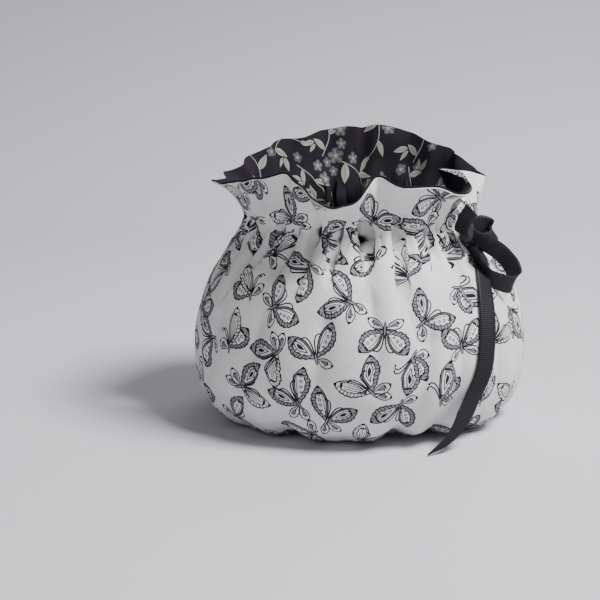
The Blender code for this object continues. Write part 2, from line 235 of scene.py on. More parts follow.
def body_point(azimuth, level):
    """Point of the outer surface between the hem edge and the ribbon channel."""
    row = hermite(level, PROFILE_KNOTS, PROFILE_VALUES, PROFILE_SLOPES)
    height, side, front, pleated, gathered = np.moveaxis(row, -1, 0)
    pleated = np.clip(pleated, 0, 1)
    gathered = np.clip(gathered, 0, 1)
    across = np.sin(np.radians(azimuth)) ** 2
    pleats = drawn_in(azimuth, FRONT_PLEATS + BACK_PLEATS, 2, 1 + PLEAT_WIDENING * (1 - pleated))
    pulls = drawn_in(azimuth, FRONT_GATHERS + BACK_GATHERS, 2, 1)
    lifts = drawn_in(azimuth, FRONT_GATHERS + BACK_GATHERS, 3, 1)
    radius = front + (side - front) * across - pleated * pleats - gathered * pulls
    height = np.maximum(height, 0) + gathered * np.maximum(lifts - FLOOR_TRIM, 0)
    return polar(azimuth, radius, height)


def polar(azimuth, radius, height):
    turn = np.radians(azimuth)
    return np.stack([radius * np.sin(turn), -radius * np.cos(turn), height], axis=-1)


def frill_point(azimuth, rise):
    """Point of the frill, where rise goes from 0 at the channel to 1 at the rim."""
    neck = body_point(azimuth, np.full_like(azimuth, NECK_LEVEL))
    rim_row = hermite(azimuth % 360, RIM_KNOTS, RIM_VALUES, RIM_SLOPES)
    swing, radius, height = np.moveaxis(rim_row, -1, 0)
    rim = polar(azimuth + swing, radius, height)
    across = np.linalg.norm(rim[..., :2], axis=-1) - np.linalg.norm(neck[..., :2], axis=-1)
    arch = FRILL_ARCH * np.maximum(across, 0)
    bend = neck + FRILL_REACH * (rim - neck)
    bend[..., 2] = neck[..., 2] + FRILL_CLIMB * (rim[..., 2] - neck[..., 2]) + arch
    s = rise[..., None]
    return (1 - s) ** 2 * neck + 2 * s * (1 - s) * bend + s**2 * rim


def outer_point(azimuth, level):
    """Point of the solids' outer surface, level 0 at the hem edge and TOP_LEVEL at the rim."""
    body = body_point(azimuth, np.minimum(level, NECK_LEVEL))
    frill = frill_point(azimuth, np.clip((level - NECK_LEVEL) / FRILL_STEPS, 0, 1))
    return np.where((level > NECK_LEVEL)[..., None], frill, body)


def outward(azimuth, level):
    """Unit vector straight out of the cover."""
    low = np.maximum(level - SLOPE_CLIMB, 0)
    high = np.minimum(level + SLOPE_CLIMB, TOP_LEVEL)
    round_it = outer_point(azimuth + SLOPE_TURN, level) - outer_point(azimuth - SLOPE_TURN, level)
    up_it = outer_point(azimuth, high) - outer_point(azimuth, low)
    return unit(np.cross(round_it, up_it))


def unit(vectors):
    return vectors / np.linalg.norm(vectors, axis=-1, keepdims=True)


# Distance up the cloth from the hem edge for each level, halfway between front and side.
LEVELS = np.linspace(0, TOP_LEVEL, 321)
MEASURED = outer_point(np.full_like(LEVELS, 315.0), LEVELS)
CLIMB = np.concatenate([[0], np.cumsum(np.linalg.norm(np.diff(MEASURED, axis=0), axis=1))])
PANEL_HEIGHT = float(CLIMB[-1])
NECK_CLIMB = float(np.interp(NECK_LEVEL, LEVELS, CLIMB))

# Creases of the cloth: azimuth and distance above the channel where it starts, the same where it
# ends, half width at both ends in millimetres, depth at both ends, and how far its first side
# leans over it, as a share of its half width, less than 0 where its second side does.
CREASES = (
    (358.4, 8.0, 0.0, -27.0, 2.2, 2.2, 8.5, 3.0, 1.7),
    (351.0, 6.0, 346.0, -30.0, 1.5, 2.8, 4.8, 2.4, -2.0),
    (6.5, 4.0, 5.5, -16.0, 1.2, 1.8, 3.6, 1.6, 1.6),
    (14.5, 11.0, 11.0, -50.0, 2.0, 3.2, 8.0, 4.0, 2.5),
    (11.0, -22.0, 21.0, -68.0, 2.6, 6.0, 2.2, 1.4, 0.5),
    (23.0, 5.0, 26.0, -24.0, 1.5, 2.4, 4.6, 2.4, 2.0),
    (29.0, 7.0, 32.5, -20.0, 1.3, 2.2, 3.8, 2.0, 1.8),
    (35.5, 8.0, 44.5, -50.0, 1.7, 3.2, 6.6, 4.4, 2.4),
    (42.0, 4.0, 49.0, -34.0, 1.4, 2.6, 4.2, 2.4, 2.0),
    (48.5, 7.0, 52.0, -20.0, 1.3, 2.2, 3.6, 1.8, 1.6),
    (341.5, 9.0, 332.0, -40.0, 1.7, 3.4, 5.4, 3.4, -2.2),
    (331.0, 6.0, 322.0, -32.0, 1.7, 3.2, 4.4, 2.6, -1.9),
    (321.0, 8.0, 307.0, -32.0, 1.6, 3.0, 5.0, 3.0, -2.1),
    (311.0, 7.0, 298.0, -48.0, 1.8, 3.8, 5.2, 3.4, -2.0),
    (300.5, 6.0, 288.0, -40.0, 1.7, 3.4, 4.4, 2.8, -1.9),
    (291.0, 5.0, 282.0, -28.0, 1.5, 2.8, 3.8, 2.0, -1.6),
    (280.5, 6.0, 276.5, -22.0, 1.5, 2.4, 3.2, 1.5, -1.2),
    (57.5, 6.0, 60.0, -26.0, 1.5, 2.6, 4.2, 2.2, 1.6),
    (66.0, 6.0, 69.0, -30.0, 1.6, 3.0, 4.4, 2.4, 1.6),
    (77.0, 7.0, 77.5, -24.0, 1.5, 2.6, 3.8, 1.8, 1.4),
)
BACK_CREASES = tuple(
    (
        98.0 + 9.2 * i,
        8.0,
        98.0 + 9.2 * i + (3.0 if i % 2 else -4.0),
        -42.0 + 20.0 * (i % 2),
        1.6,
        3.4,
        5.0 - 0.7 * (i % 3),
        2.6,
        2.0 - 4.0 * (i % 4 > 1),
    )
    for i in range(19)
)
# Broad soft folds of the belly, in the same columns.
BELLY_FOLDS = (
    (346.0, -40.0, 341.0, -112.0, 5.0, 7.0, 3.6, 2.0, 0.0),
    (2.0, -30.0, 5.0, -95.0, 4.0, 6.0, 3.0, 1.5, 0.0),
    (24.0, -50.0, 19.0, -116.0, 5.0, 6.0, 4.0, 3.0, 0.0),
    (322.0, -45.0, 312.0, -108.0, 5.5, 7.0, 3.5, 1.5, 0.0),
    (37.0, -58.0, 35.0, -118.0, 4.0, 5.0, 4.0, 3.0, 0.0),
    (300.0, -50.0, 292.0, -104.0, 5.5, 7.0, 3.0, 1.5, 0.0),
    (54.0, -60.0, 56.0, -116.0, 4.0, 5.0, 3.5, 2.5, 0.0),
    (66.0, -30.0, 70.0, -104.0, 5.0, 7.0, 3.0, 1.5, 0.0),
    (110.0, -30.0, 114.0, -100.0, 5.5, 7.0, 2.5, 1.5, 0.0),
    (138.0, -20.0, 133.0, -95.0, 5.0, 7.0, 3.0, 1.5, 0.0),
    (165.0, -35.0, 170.0, -108.0, 5.0, 7.0, 2.5, 1.5, 0.0),
    (194.0, -20.0, 189.0, -98.0, 5.0, 7.0, 3.0, 1.5, 0.0),
    (221.0, -40.0, 226.0, -110.0, 5.5, 7.0, 2.5, 1.5, 0.0),
    (247.0, -25.0, 242.0, -94.0, 5.0, 7.0, 2.5, 1.5, 0.0),
)
MAIN_FOLDS = CREASES + BACK_CREASES + BELLY_FOLDS
# Small gathers all round the channel and the hem, and the depth that they may have there and
# elsewhere.
CHANNEL_GATHERS = 60
HEM_GATHERS = 76
CHANNEL_ROOM = 3.4
HEM_ROOM = 1.6
LEAST_ROOM = 0.1
# Slight waves of all the cloth as waves round it, slant and size, waves of the frill as number,
# start and size, and how far the ridges between the folds rise.
RIPPLES = ((3.0, 0.7, 0.12), (5.0, -1.3, 0.10), (9.0, 2.1, 0.08), (14.0, -0.4, 0.06))
FLUTES = ((23, 1.0, 0.45), (37, 2.3, 0.30))
HIGHEST_RIDGE = 0.6
# The cover stops a little below the lining at the rim.
COVER_SHARE = 1 - 0.9 / PANEL_HEIGHT
# Ends of a fold as shares of its length: where it starts and how fast it grows, where it stops
# and how fast it dies away, and the share of its width that it keeps there.
FOLD_START, FOLD_GROWTH = 0.05, 0.25
FOLD_STOP, FOLD_FADE = 1.1, 0.45
END_WIDTH = 0.4
# Sharpness of a fold's trough, and half widths over which the cloth slides over it.
TROUGH_SHARPNESS = 1.5
SLIDE_REACH = 2.2
# Distance from a side seam within which the cloth can't slide.
SEAM_REACH = 9.0


def small_gathers():
    """Short creases at the channel and at the hem, uneven in place, slant, reach and depth."""
    random = np.random.default_rng(SEED)
    rows = []
    for i in range(CHANNEL_GATHERS):
        azimuth = 360 * (i + random.uniform(-0.3, 0.3)) / CHANNEL_GATHERS
        end = azimuth + random.uniform(-3, 3)
        up = random.uniform(5, 16)
        down = random.uniform(8, 30)
        width = random.uniform(0.9, 1.5)
        depth = random.uniform(1.2, 4.4)
        lean = 1.5 if azimuth < 120 or 180 < azimuth < 250 else -1.5
        rows.append((azimuth, up, end, -down, width, width * 1.8, depth, depth * 0.4, lean))
    for i in range(HEM_GATHERS):
        azimuth = 360 * (i + random.uniform(-0.3, 0.3)) / HEM_GATHERS
        start = azimuth + random.uniform(-2, 2)
        top = random.uniform(16, 40) - NECK_CLIMB
        low = -2 - NECK_CLIMB
        width = random.uniform(1.2, 2.0)
        depth = random.uniform(0.4, 1.7)
        rows.append((start, top, azimuth, low, width * 1.6, width, depth * 0.2, depth, 0.0))
    return tuple(rows)


GATHERS = small_gathers()


def smooth_step(x):
    x = np.clip(x, 0, 1)
    return x * x * (3 - 2 * x)


def folded(azimuth, climb, radius, folds):
    """How deep the listed folds cut in and how far the cloth slides over them, in millimetres.

    climb is the distance above the channel.
    """
    cut = np.zeros_like(azimuth)
    slide = np.zeros_like(azimuth)
    for start, top, end, low, top_width, low_width, top_depth, low_depth, lean in folds:
        near = (climb < top + 4) & (climb > low - 6)
        along = (top - climb[near]) / (top - low)
        line = start + turn_between(end, start) * along
        width = top_width + (low_width - top_width) * np.clip(along, 0, 1)
        depth = top_depth + (low_depth - top_depth) * np.clip(along, 0, 1)
        away = np.radians(turn_between(azimuth[near], line)) * radius[near] / width
        ends = smooth_step((along + FOLD_START) / FOLD_GROWTH)
        ends = ends * smooth_step((FOLD_STOP - along) / FOLD_FADE)
        away = away / (END_WIDTH + (1 - END_WIDTH) * ends)
        trough = np.exp(1 - np.sqrt(1 + (TROUGH_SHARPNESS * away) ** 2))
        cut[near] += depth * ends * trough
        slide[near] += lean * width * ends * (1 - trough) * np.exp(-((away / SLIDE_REACH) ** 2))
    return cut, slide


def ripple(azimuth, climb):
    """Slight unevenness of cloth that is nowhere quite flat."""
    total = np.zeros_like(azimuth)
    for waves, slant, size in RIPPLES:
        total += size * np.sin(np.radians(azimuth) * waves + climb * slant * 0.06 + waves)
    return total


def room_for_gathers(climb):
    """Depth that the small gathers may have at each distance above the channel."""
    channel = smooth_step((climb + 32) / 22) * smooth_step((18 - climb) / 14)
    hem = smooth_step((44 - NECK_CLIMB - climb) / 26)
    return LEAST_ROOM + CHANNEL_ROOM * channel + HEM_ROOM * hem


def own_folds(azimuth, level, gathered=True):
    """Height of the cloth's own folds over the solids' outer surface, and its slide round it."""
    climb = np.interp(level, LEVELS, CLIMB) - NECK_CLIMB
    radius = np.interp(level, PROFILE_KNOTS, PROFILE_VALUES[:, 2])
    cut, slide = folded(azimuth, climb, radius, MAIN_FOLDS)
    room = room_for_gathers(climb)
    if gathered:
        small_cut, small_slide = folded(azimuth, climb, radius, GATHERS)
        cut = cut + room * np.tanh(small_cut / room)
        slide = slide + small_slide
    else:
        cut = cut + room
    ridge = HIGHEST_RIDGE * smooth_step(level / 3) * (1 - 0.6 * smooth_step((level - 13) / 3))
    flutes = np.zeros_like(azimuth)
    for waves, start, size in FLUTES:
        flutes += size * np.sin(np.radians(azimuth) * waves + start)
    flutes *= smooth_step((climb - 8) / 20)
    return ridge + ripple(azimuth, climb) * smooth_step(level / 3) + flutes - cut, slide / radius


def panel_azimuth(panel, across, level):
    """Azimuth on a panel, across being 0 at its first side seam and 1 at its last."""
    first, last = panel["seams"]
    start = first[0] + seam_inset(level, first)
    end = last[0] - seam_inset(level, last) + 360 * (last[0] < first[0])
    return start + (end - start) * across


def seam_inset(level, opening):
    """Angle from a side seam's line to the panel's edge, with room for its rounded edge."""
    row = hermite(np.minimum(level, NECK_LEVEL), PROFILE_KNOTS, PROFILE_VALUES, PROFILE_SLOPES)
    height, radius = row[..., 0], row[..., 1]
    lowest, highest, half_width = opening[1:]
    along = np.clip((height - lowest) / (highest - lowest), 0, 1)
    open_here = (along > 0) & (along < 1) & (level < NECK_LEVEL)
    gape = np.where(open_here, half_width * np.sin(math.pi * along) ** OPENING_FULLNESS, 0)
    rounding = COVER_DEPTHS[1] / 2 + SEAM_ROOM
    return np.degrees((gape + rounding) / radius)


def cloth_point(panel, flat, depth, gathered=True):
    """Place of flat cloth points, depth under the cover's outer side."""
    climb = flat[:, 1] * (COVER_SHARE if gathered else 1.0)
    level = np.interp(climb, CLIMB, LEVELS)
    azimuth = panel_azimuth(panel, flat[:, 0] / PANEL_WIDTH, level)
    lift, slide = own_folds(azimuth, level, gathered)
    from_seam = np.minimum(flat[:, 0], PANEL_WIDTH - flat[:, 0])
    azimuth = azimuth + np.degrees(slide) * smooth_step(from_seam / SEAM_REACH)
    point = outer_point(azimuth, level) + (lift - depth)[:, None] * outward(azimuth, level)
    point[:, 2] = np.maximum(point[:, 2], FLOOR_ROOM + 0.5 * depth)
    return point


def cloth_slopes(panel, flat, gathered=True):
    """Directions of the cloth across and up at flat points, and straight out of it."""
    steps = np.array([[SLOPE_STEP, 0], [0, SLOPE_STEP]])
    ways = []
    for step in steps:
        ahead = cloth_point(panel, flat + step, 0.0, gathered)
        behind = cloth_point(panel, flat - step, 0.0, gathered)
        ways.append(unit(ahead - behind + 1e-9))
    return ways[0], ways[1], unit(np.cross(ways[0], ways[1]))


# Drawing of the prints. A shape is a slot number and the corners of a filled outline in
# millimetres, and a later shape covers an earlier one.
CLOTH = 0
INK = 1
GREY = 2


# Drawings in a wing's middle, longest wing that is drawn small, and widths of the outlines.
ALMOND = 0
RINGED = 1
VEINED = 2
SMALL_WING = 12
LARGE_WING_LINE = 0.84
SMALL_WING_LINE = 0.74


def swell_of(q):
    """Half width of a wing along its length, pointed at both ends."""
    return q**1.25 * (1 - q) ** 0.95 / 0.2209


def wing_outline(length, width, inset=0.0, border=0.0, scallops=0, wave=0.0, steps=9):
    """Pointed wing along +X: a plain front edge above, and a wavy outer edge below."""
    q = np.linspace(0, 1, 160)
    swell = swell_of(q)
    front = 0.40 * width * swell + 0.10 * width * np.sin(math.pi * q)
    back = -0.60 * width * swell
    if scallops:
        back = back - wave * np.abs(np.sin(math.pi * scallops * q)) * np.sqrt(swell)
    front = front - inset
    back = back + inset + border
    clear_of_tip = (1 - q) * length > 2.2 * (inset + 0.5 * border)
    inside = np.nonzero((front - back > 0.2) & (q * length > inset) & clear_of_tip)[0]
    if len(inside) < 12:
        return None
    back_steps = 3 * scallops + 2 if scallops else steps
    upper = np.linspace(inside[0], inside[-1], steps).astype(int)
    lower = np.linspace(inside[-1], inside[0], back_steps).astype(int)
    along = np.concatenate([q[upper], q[lower]]) * length
    return np.stack([along, np.concatenate([front[upper], back[lower]])], axis=1)


def oval(middle, size, steps=8, turn=0.0):
    angles = np.linspace(0, 2 * math.pi, steps, endpoint=False)
    points = np.stack([size[0] * np.cos(angles), size[1] * np.sin(angles)], axis=1)
    return turned(points, turn) + np.array(middle)


def turned(points, degrees, mirrored=False):
    points = np.array(points, dtype=float)
    if mirrored:
        points = points * np.array([1.0, -1.0])
    turn = math.radians(degrees)
    spin = np.array([[math.cos(turn), math.sin(turn)], [-math.sin(turn), math.cos(turn)]])
    return points @ spin


def stroke(points, width, taper=0.5):
    """Thin line along points, narrower at its end by the taper."""
    points = np.array(points, dtype=float)
    way = np.gradient(points, axis=0)
    way /= np.linalg.norm(way, axis=1, keepdims=True)
    side = np.stack([-way[:, 1], way[:, 0]], axis=1)
    half = (width / 2) * np.linspace(1, 1 - taper, len(points))[:, None]
    return np.concatenate([points + side * half, (points - side * half)[::-1]])


def moved(shapes, degrees=0.0, shift=(0.0, 0.0), mirrored=False):
    return [(slot, turned(points, degrees, mirrored) + np.array(shift)) for slot, points in shapes]


def wing(length, width, style):
    """One wing: outline, shaded border with a wavy inner line, and a drawing in its middle."""
    large = length > SMALL_WING
    scallops = 7 if large else 4
    wave = 0.085 * width
    line = LARGE_WING_LINE if large else SMALL_WING_LINE
    border = (0.15 if large else 0.12) * width
    fill = GREY if large and style != VEINED else CLOTH
    shapes = [(INK, wing_outline(length, width, 0, 0, scallops, wave))]
    shapes.append((fill, wing_outline(length, width, line, 0, scallops, wave)))
    if large:
        shapes += border_ticks(length, width, border, line)
        for slot, inset in ((INK, line * 1.35), (CLOTH, line * 2.1)):
            shapes.append((slot, wing_outline(length, width, inset, border, scallops - 1, wave * 0.8)))
        shapes += wing_middle(length, width, style)
    else:
        shapes.append((INK, wing_outline(length, width, line * 1.7, border, steps=7)))
        shapes.append((GREY, wing_outline(length, width, line * 2.2, border, steps=6)))
        vein = [(0.15 * length, 0), (0.5 * length, -0.04 * width), (0.8 * length, 0)]
        shapes.append((INK, stroke(vein, 0.5, 0.5)))
        shapes.append((INK, oval((0.55 * length, -0.3 * width), (0.5, 0.5), 6)))
    return [shape for shape in shapes if shape[1] is not None]


def border_ticks(length, width, border, line):
    """Short hatching strokes across the shaded border."""
    ticks = []
    for q in np.linspace(0.18, 0.88, 9):
        foot = -0.60 * width * swell_of(q)
        start = (q * length, foot + 0.2 * line)
        end = (q * length - 0.6, foot + border + 1.2 * line)
        ticks.append((INK, stroke([start, end], 0.5, 0.1)))
    return ticks


def wing_middle(length, width, style):
    """Almond and dots, a row of rings, or fine veins."""
    shapes = []
    if style == ALMOND:
        rounds = ((0.56, 0.0, INK), (0.56, 0.5, GREY), (0.40, 0.0, CLOTH), (0.28, 0.0, INK))
        for part, inset, slot in rounds:
            almond = wing_outline(length * part, width * part * 0.72, inset, steps=8)
            shapes.append((slot, almond + np.array((length * (0.54 - part * 0.5), 0.02 * width))))
        for q in (0.32, 0.46, 0.60, 0.73):
            shapes.append((INK, oval((q * length, -0.27 * width * swell_of(q)), (0.55, 0.55), 5)))
    elif style == RINGED:
        for q, size in ((0.34, 0.75), (0.48, 0.95), (0.62, 1.05), (0.75, 0.8)):
            middle = (q * length, -0.06 * width)
            shapes.append((INK, oval(middle, (size, size), 7)))
            shapes.append((CLOTH, oval(middle, (size - 0.5, size - 0.5), 5)))
        curve = [(q * length, 0.20 * width * swell_of(q)) for q in np.linspace(0.14, 0.84, 7)]
        shapes.append((INK, stroke(curve, 0.5, 0.3)))
    else:
        for rise in (-0.30, -0.14, 0.02, 0.18):
            ends = np.linspace(0.14, 0.82 - abs(rise), 5)
            curve = [(q * length, rise * width * swell_of(q)) for q in ends]
            shapes.append((INK, stroke(curve, 0.58, 0.4)))
        shapes.append((INK, oval((0.80 * length, 0.0), (0.6, 0.6), 6)))
    return shapes


def feeler(angle, length, curl):
    """Long thin feeler that curls over and ends in a small bulb."""
    q = np.linspace(0, 1, 10)
    heading = curl * q**5
    steps = np.stack([np.cos(heading), np.sin(heading)], axis=1)
    points = np.cumsum(steps, axis=0) * length / len(q)
    shapes = [(INK, stroke(points, 0.85, 0.1)), (INK, oval(points[-1], (0.75, 0.6), 5))]
    return moved(shapes, angle)


def insect_body(length, angle):
    shapes = [
        (INK, oval((0, 0), (length / 2, 0.95), 12)),
        (GREY, oval((0, 0), (length / 2 - 0.6, 0.45), 8)),
        (INK, oval((length / 2, 0), (0.85, 0.75), 8)),
    ]
    return moved(shapes, angle)


# Butterflies. Each wing is angle, length, width, drawing in its middle, and 1 where mirrored.
# Then come the feelers as angle, length and how far they curl in radians, and the body's length
# and angle.
BUTTERFLIES = (
    (
        ((150, 12.0, 5.0, 2, 1), (214, 11.5, 5.0, 0, 0), (80, 21.0, 9.0, 0, 1), (6, 23.0, 9.0, 1, 0)),
        ((48, 16.0, 1.8), (36, 17.0, -1.8)),
        (7.5, 43),
    ),
    (
        ((-150, 11.5, 5.5, 2, 0), (-98, 18.5, 9.0, 1, 0), (-62, 24.0, 10.5, 0, 0)),
        ((-32, 16.0, 2.0), (-22, 15.0, 2.4)),
        (7.0, -40),
    ),
    (
        ((172, 12.0, 5.0, 0, 0), (128, 12.0, 5.5, 2, 1), (-12, 22.5, 8.5, 2, 0), (58, 22.0, 9.5, 0, 1)),
        ((28, 15.5, 1.8), (16, 16.5, -1.6)),
        (8.0, 22),
    ),
    (
        ((-14, 11.0, 6.0, 0, 1), (108, 19.0, 10.0, 1, 1), (72, 24.5, 9.0, 2, 1)),
        ((42, 15.5, -2.4), (32, 16.5, -2.0)),
        (6.5, 60),
    ),
    (
        ((-28, 12.0, 5.0, 2, 1), (208, 12.0, 5.0, 2, 0), (136, 20.0, 10.0, 1, 1), (44, 20.0, 10.0, 1, 0)),
        ((96, 15.5, 1.8), (84, 15.5, -1.8)),
        (8.5, 90),
    ),
    (
        ((-128, 11.0, 5.0, 2, 0), (34, 20.5, 9.5, 0, 1), (-48, 23.5, 9.0, 1, 0)),
        ((-2, 16.0, 1.8), (-14, 16.5, -1.8)),
        (7.0, -8),
    ),
)


def butterfly(number):
    wings, feelers, (length, angle) = BUTTERFLIES[number % len(BUTTERFLIES)]
    shapes = []
    for turn, span, width, style, mirrored in wings:
        shapes += moved(wing(span, width, style), turn, mirrored=bool(mirrored))
    for turn, span, curl in feelers:
        shapes += feeler(turn, span, curl)
    shapes += insect_body(length, angle)
    middle = np.concatenate([points for _, points in shapes])
    centre = (middle.min(axis=0) + middle.max(axis=0)) / 2
    return moved(shapes, shift=-centre)


# The lining's flowers and leaves. PALE and SHADE are its print's slots.
GROUND = 0
PALE = 1
SHADE = 2


def leaf(length, width, angle, foot):
    q = np.linspace(0, 1, 8)
    swell = np.sin(math.pi * q**0.8) * width / 2
    upper = np.stack([q * length, swell], axis=1)
    lower = np.stack([q[-2:0:-1] * length, -swell[-2:0:-1] * 0.9], axis=1)
    vein = stroke([(length * 0.12, 0), (length * 0.85, 0.1)], 0.4, 0.6)
    return moved([(PALE, np.concatenate([upper, lower])), (SHADE, vein)], angle, foot)


def blossom(radius, petals, middle):
    """Open flower with rounded petals, a shaded line up each petal and a small eye."""
    angles = np.linspace(0, 2 * math.pi, petals * 6, endpoint=False)
    reach = radius * (0.62 + 0.38 * np.abs(np.cos(angles * petals / 2)) ** 0.6)
    outline = np.stack([reach * np.cos(angles), reach * np.sin(angles)], axis=1)
    shapes = [(PALE, outline)]
    if radius > 3.5:
        for i in range(petals):
            way = 2 * math.pi * i / petals
            line = [(radius * s * math.cos(way), radius * s * math.sin(way)) for s in (0.3, 0.55, 0.78)]
            shapes.append((SHADE, stroke(line, 0.5, 0.5)))
    shapes.append((SHADE, oval((0, 0), (radius * 0.28, radius * 0.28), 8)))
    shapes.append((GROUND, oval((0, 0), (radius * 0.13, radius * 0.13), 6)))
    return moved(shapes, shift=middle)


def sprig(length, leaves, bend, leaf_length, leaf_width):
    """Curved stem with slender leaves on both sides."""
    q = np.linspace(0, 1, 12)
    stem = np.stack([length * q, bend * np.sin(math.pi * q * 0.9)], axis=1)
    shapes = [(PALE, stroke(stem, 0.7, 0.5))]
    for i in range(leaves):
        at = 0.15 + 0.75 * i / max(leaves - 1, 1)
        foot = (length * at, bend * math.sin(math.pi * at * 0.9))
        side = 1 if i % 2 else -1
        size = 1 - 0.4 * at
        shapes += leaf(leaf_length * size, leaf_width * size, side * (48 - 18 * at), foot)
    shapes += leaf(leaf_length * 0.7, leaf_width * 0.7, -12, tuple(stem[-1]))
    return shapes


def soft_bloom(size, middle):
    """Rounded bloom in the shaded tone with a few pale touches."""
    shapes = blossom(size, 5, (0, 0))
    shapes = [(SHADE if slot == PALE else PALE, points) for slot, points in shapes[:-1]]
    return moved(shapes, shift=middle)


# Places of the small blossoms of one group.
CLUSTER = (
    *((0, 0), (5.6, 2.2), (-4.2, 4.6), (1.8, 6.4), (-5.2, -2.0)),
    *((2.6, -5.0), (8.2, -2.8), (-1.8, -7.0), (7.6, 7.4)),
)


def flower_group(number):
    """One of four groups of the lining's print."""
    kind = number % 4
    if kind == 0:
        shapes = sprig(30, 3, 6, 13.5, 5.2) + soft_bloom(5.2, (-3, 1)) + soft_bloom(4.0, (6, 9))
        return moved(shapes + soft_bloom(3.4, (3, -7)), shift=(-11, -3))
    if kind == 1:
        shapes = moved(sprig(19, 4, 3, 9.0, 3.4), 205, (-3, -3))
        for i, spot in enumerate(CLUSTER):
            shapes += soft_bloom(2.7, spot) if i % 3 == 2 else blossom(2.4 - 0.3 * (i % 2), 5, spot)
        return shapes
    if kind == 2:
        shapes = sprig(25, 3, -5, 12.5, 4.8) + moved(sprig(20, 2, 4, 10.0, 4.2), 72)
        shapes = moved(shapes + soft_bloom(4.6, (0, 0)), shift=(-8, -6))
        return shapes + leaf(8.5, 3.4, 130, (-8, 4)) + leaf(7.0, 3.0, 175, (-8, 3))
    shapes = moved(sprig(27, 3, 7, 12.0, 4.6), 150, (11, -4))
    shapes += leaf(9.0, 3.8, 60, (5, 5)) + leaf(7.0, 3.0, 15, (6, 4))
    return shapes + soft_bloom(4.4, (-11, -7)) + soft_bloom(3.4, (12, -9)) + soft_bloom(3.6, (-4, -12))


# Places tried on a panel and their least distance from its edges, motifs tried at each place,
# the share of their points compared, and the gap that will do.
PLACES_TRIED = 2600
MARGIN = 2.0
TRIES = 26
MARK_STEP = 7
CLEAR_ENOUGH = 1.6


def spread_out(panel, spacing, random):
    """Places on a panel that keep the given distance, measured over the shaped cloth."""
    high = (PANEL_WIDTH - MARGIN, PANEL_HEIGHT - MARGIN)
    flat = random.uniform((MARGIN, MARGIN), high, (PLACES_TRIED, 2))
    places = cloth_point(panel, flat, 0.0)
    climb = flat[:, 1] - NECK_CLIMB
    close = 1 + 0.22 * smooth_step((climb + 34) / 26) * smooth_step((26 - climb) / 20)
    off_middle = np.abs(flat[:, 0] - PANEL_WIDTH / 2) + np.abs(flat[:, 1] - PANEL_HEIGHT * 0.4)
    chosen = [int(np.argmin(off_middle))]
    nearest = np.linalg.norm(places - places[chosen[0]], axis=1) * close
    while nearest.max() > spacing:
        next_one = int(np.argmax(nearest))
        chosen.append(next_one)
        nearest = np.minimum(nearest, np.linalg.norm(places - places[next_one], axis=1) * close)
    return flat[chosen]


# How far the print keeps its full width where the cloth is gathered, from 0 to 1, and half of
# the cloth measured for that.
GATHERED_PRINT = 0.5
PRINT_REACH = 7.0


def print_frame(panel, spots):
    """For each spot the flat cloth steps that go 1 mm across and 1 mm up on the shaped cloth."""
    wide, tall = (PRINT_REACH, 0), (0, PRINT_REACH)
    frames = []
    for spot in spots:
        around = np.array([spot + wide, spot - wide, spot + tall, spot - tall])
        around[:, 0] = np.clip(around[:, 0], 0, PANEL_WIDTH)
        around[:, 1] = np.clip(around[:, 1], 0, PANEL_HEIGHT)
        right, left, up, down = cloth_point(panel, around, 0.0)
        per_across = (right - left) / (around[0, 0] - around[1, 0])
        per_up = (up - down) / (around[2, 1] - around[3, 1])
        first = unit(per_across)
        second = unit(per_up - first * (per_up @ first))
        drawn = np.linalg.norm(per_across)
        first = first * drawn ** (GATHERED_PRINT - 1)
        slopes = np.array([[per_across @ first, per_up @ first], [per_across @ second, per_up @ second]])
        frames.append(np.linalg.inv(slopes))
    return frames


def printed_groups(panel, draw, spacing, seed):
    """A panel's print in flat cloth coordinates, each group being the shapes of one motif.

    Of a few motifs and turns tried at each place, the one that keeps clearest of its neighbours
    is taken.
    """
    random = np.random.default_rng(seed)
    spots = spread_out(panel, spacing, random)
    groups = []
    taken = np.zeros((0, 2))
    for spot, to_flat in zip(spots, print_frame(panel, spots)):
        to_cloth = np.linalg.inv(to_flat)
        around = (taken - spot) @ to_cloth.T
        around = around[np.abs(around).max(axis=1) < 2.2 * spacing]
        best = None
        for _ in range(TRIES):
            number = int(random.integers(0, 24))
            group = moved(draw(number), random.uniform(0, 360), mirrored=bool(random.integers(0, 2)))
            marks = np.concatenate([points for _, points in group])[::MARK_STEP]
            gaps = np.linalg.norm(marks[:, None] - around, axis=2) if len(around) else np.array([[9.0]])
            clear = min(float(gaps.min()), CLEAR_ENOUGH)
            if best is None or clear > best[0]:
                best = (clear, group, marks)
            if clear >= CLEAR_ENOUGH:
                break
        groups.append([(slot, spot + points @ to_flat.T) for slot, points in best[1]])
        taken = np.concatenate([taken, spot + best[2] @ to_flat.T])
    return groups


def row_points(fine, coarse):
    """Staggered rows of points inside the flat panel, finer where the channel gathers it."""
    rows = []
    climb = 0.0
    odd = False
    while True:
        step = fine if abs(climb - NECK_CLIMB + 5) < 15 else coarse
        climb += step
        if climb > PANEL_HEIGHT - 0.4 * step:
            break
        count = int(PANEL_WIDTH / step)
        x = (np.arange(count) + (0.5 if odd else 0.25)) * PANEL_WIDTH / count
        rows.append(np.stack([x, np.full(count, climb)], axis=1))
        odd = not odd
    return np.concatenate(rows)


def outline_points():
    """Corners and even steps round the flat panel, from its lower first corner."""
    columns = int(PANEL_WIDTH / EDGE_STEP)
    rows = int(PANEL_HEIGHT / EDGE_STEP)
    x = np.linspace(0, PANEL_WIDTH, columns + 1)
    y = np.linspace(0, PANEL_HEIGHT, rows + 1)
    bottom = np.stack([x[:-1], np.zeros(columns)], axis=1)
    last = np.stack([np.full(rows, PANEL_WIDTH), y[:-1]], axis=1)
    top = np.stack([x[:0:-1], np.full(columns, PANEL_HEIGHT)], axis=1)
    first = np.stack([np.zeros(rows), y[:0:-1]], axis=1)
    return np.concatenate([bottom, last, top, first])


